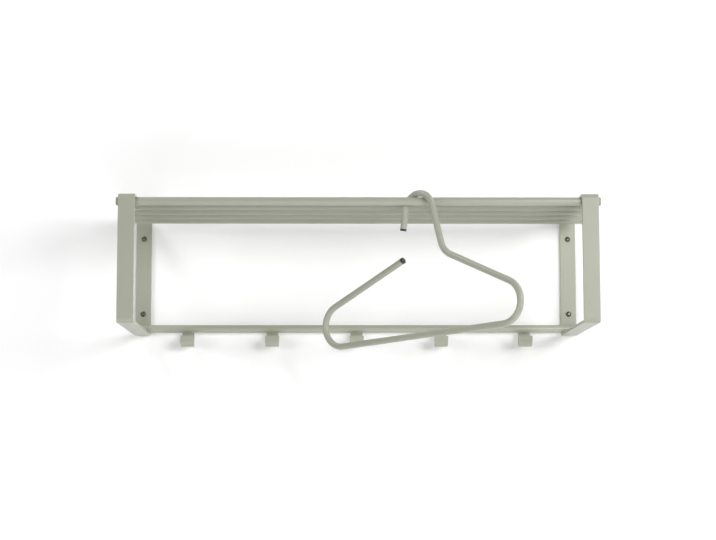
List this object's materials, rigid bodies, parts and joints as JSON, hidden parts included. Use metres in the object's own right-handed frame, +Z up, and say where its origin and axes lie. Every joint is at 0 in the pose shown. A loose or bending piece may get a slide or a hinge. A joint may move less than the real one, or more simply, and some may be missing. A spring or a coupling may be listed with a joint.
{
  "type": "wall coat rack",
  "caption": "Wall coat rack with a railed hat shelf between two flat-bar side frames, a hook rail with bent hooks, and a tube hanger.",
  "frame": {"origin": "middle of the four wall screws, on the wall plane at the back of the side frames", "axes": "+X to the right along the rack, +Y into the wall, +Z up; the front faces -Y"},
  "size_m": [0.809, 0.4532, 0.2597],
  "materials": {
    "sage_powder_coat": "fine matt powder coat, muted sage green",
    "dark_screw": "blackened steel, slight sheen",
    "black_plug": "black moulded plastic"
  },
  "bodies": {
    "rack": {"left_side_frame": "sage_powder_coat", "right_side_frame": "sage_powder_coat", "front_rail": "sage_powder_coat", "shelf_rail_2": "sage_powder_coat", "shelf_rail_3": "sage_powder_coat", "shelf_rail_4": "sage_powder_coat", "shelf_rail_5": "sage_powder_coat", "hook_rail": "sage_powder_coat", "front_rail_left_plug": "sage_powder_coat", "front_rail_right_plug": "sage_powder_coat", "shelf_rail_2_left_plug": "sage_powder_coat", "shelf_rail_2_right_plug": "sage_powder_coat", "shelf_rail_3_left_plug": "sage_powder_coat", "shelf_rail_3_right_plug": "sage_powder_coat", "shelf_rail_4_left_plug": "sage_powder_coat", "shelf_rail_4_right_plug": "sage_powder_coat", "shelf_rail_5_left_plug": "sage_powder_coat", "shelf_rail_5_right_plug": "sage_powder_coat", "hook_rail_left_plug": "sage_powder_coat", "hook_rail_right_plug": "sage_powder_coat", "hook_1": "sage_powder_coat", "hook_2": "sage_powder_coat", "hook_3": "sage_powder_coat", "hook_4": "sage_powder_coat", "hook_5": "sage_powder_coat", "upper_left_screw": "dark_screw", "lower_left_screw": "dark_screw", "upper_right_screw": "dark_screw", "lower_right_screw": "dark_screw"},
    "hanger": {"hanger_tube": "sage_powder_coat", "hanger_crook_plug": "black_plug", "hanger_shoulder_plug": "black_plug"}
  },
  "joints": [
    {"name": "hanger_slide", "type": "slide", "parent": "rack", "child": "hanger", "axis": [1, 0, 0], "range_m": [-0.309, 0.249]}
  ]
}
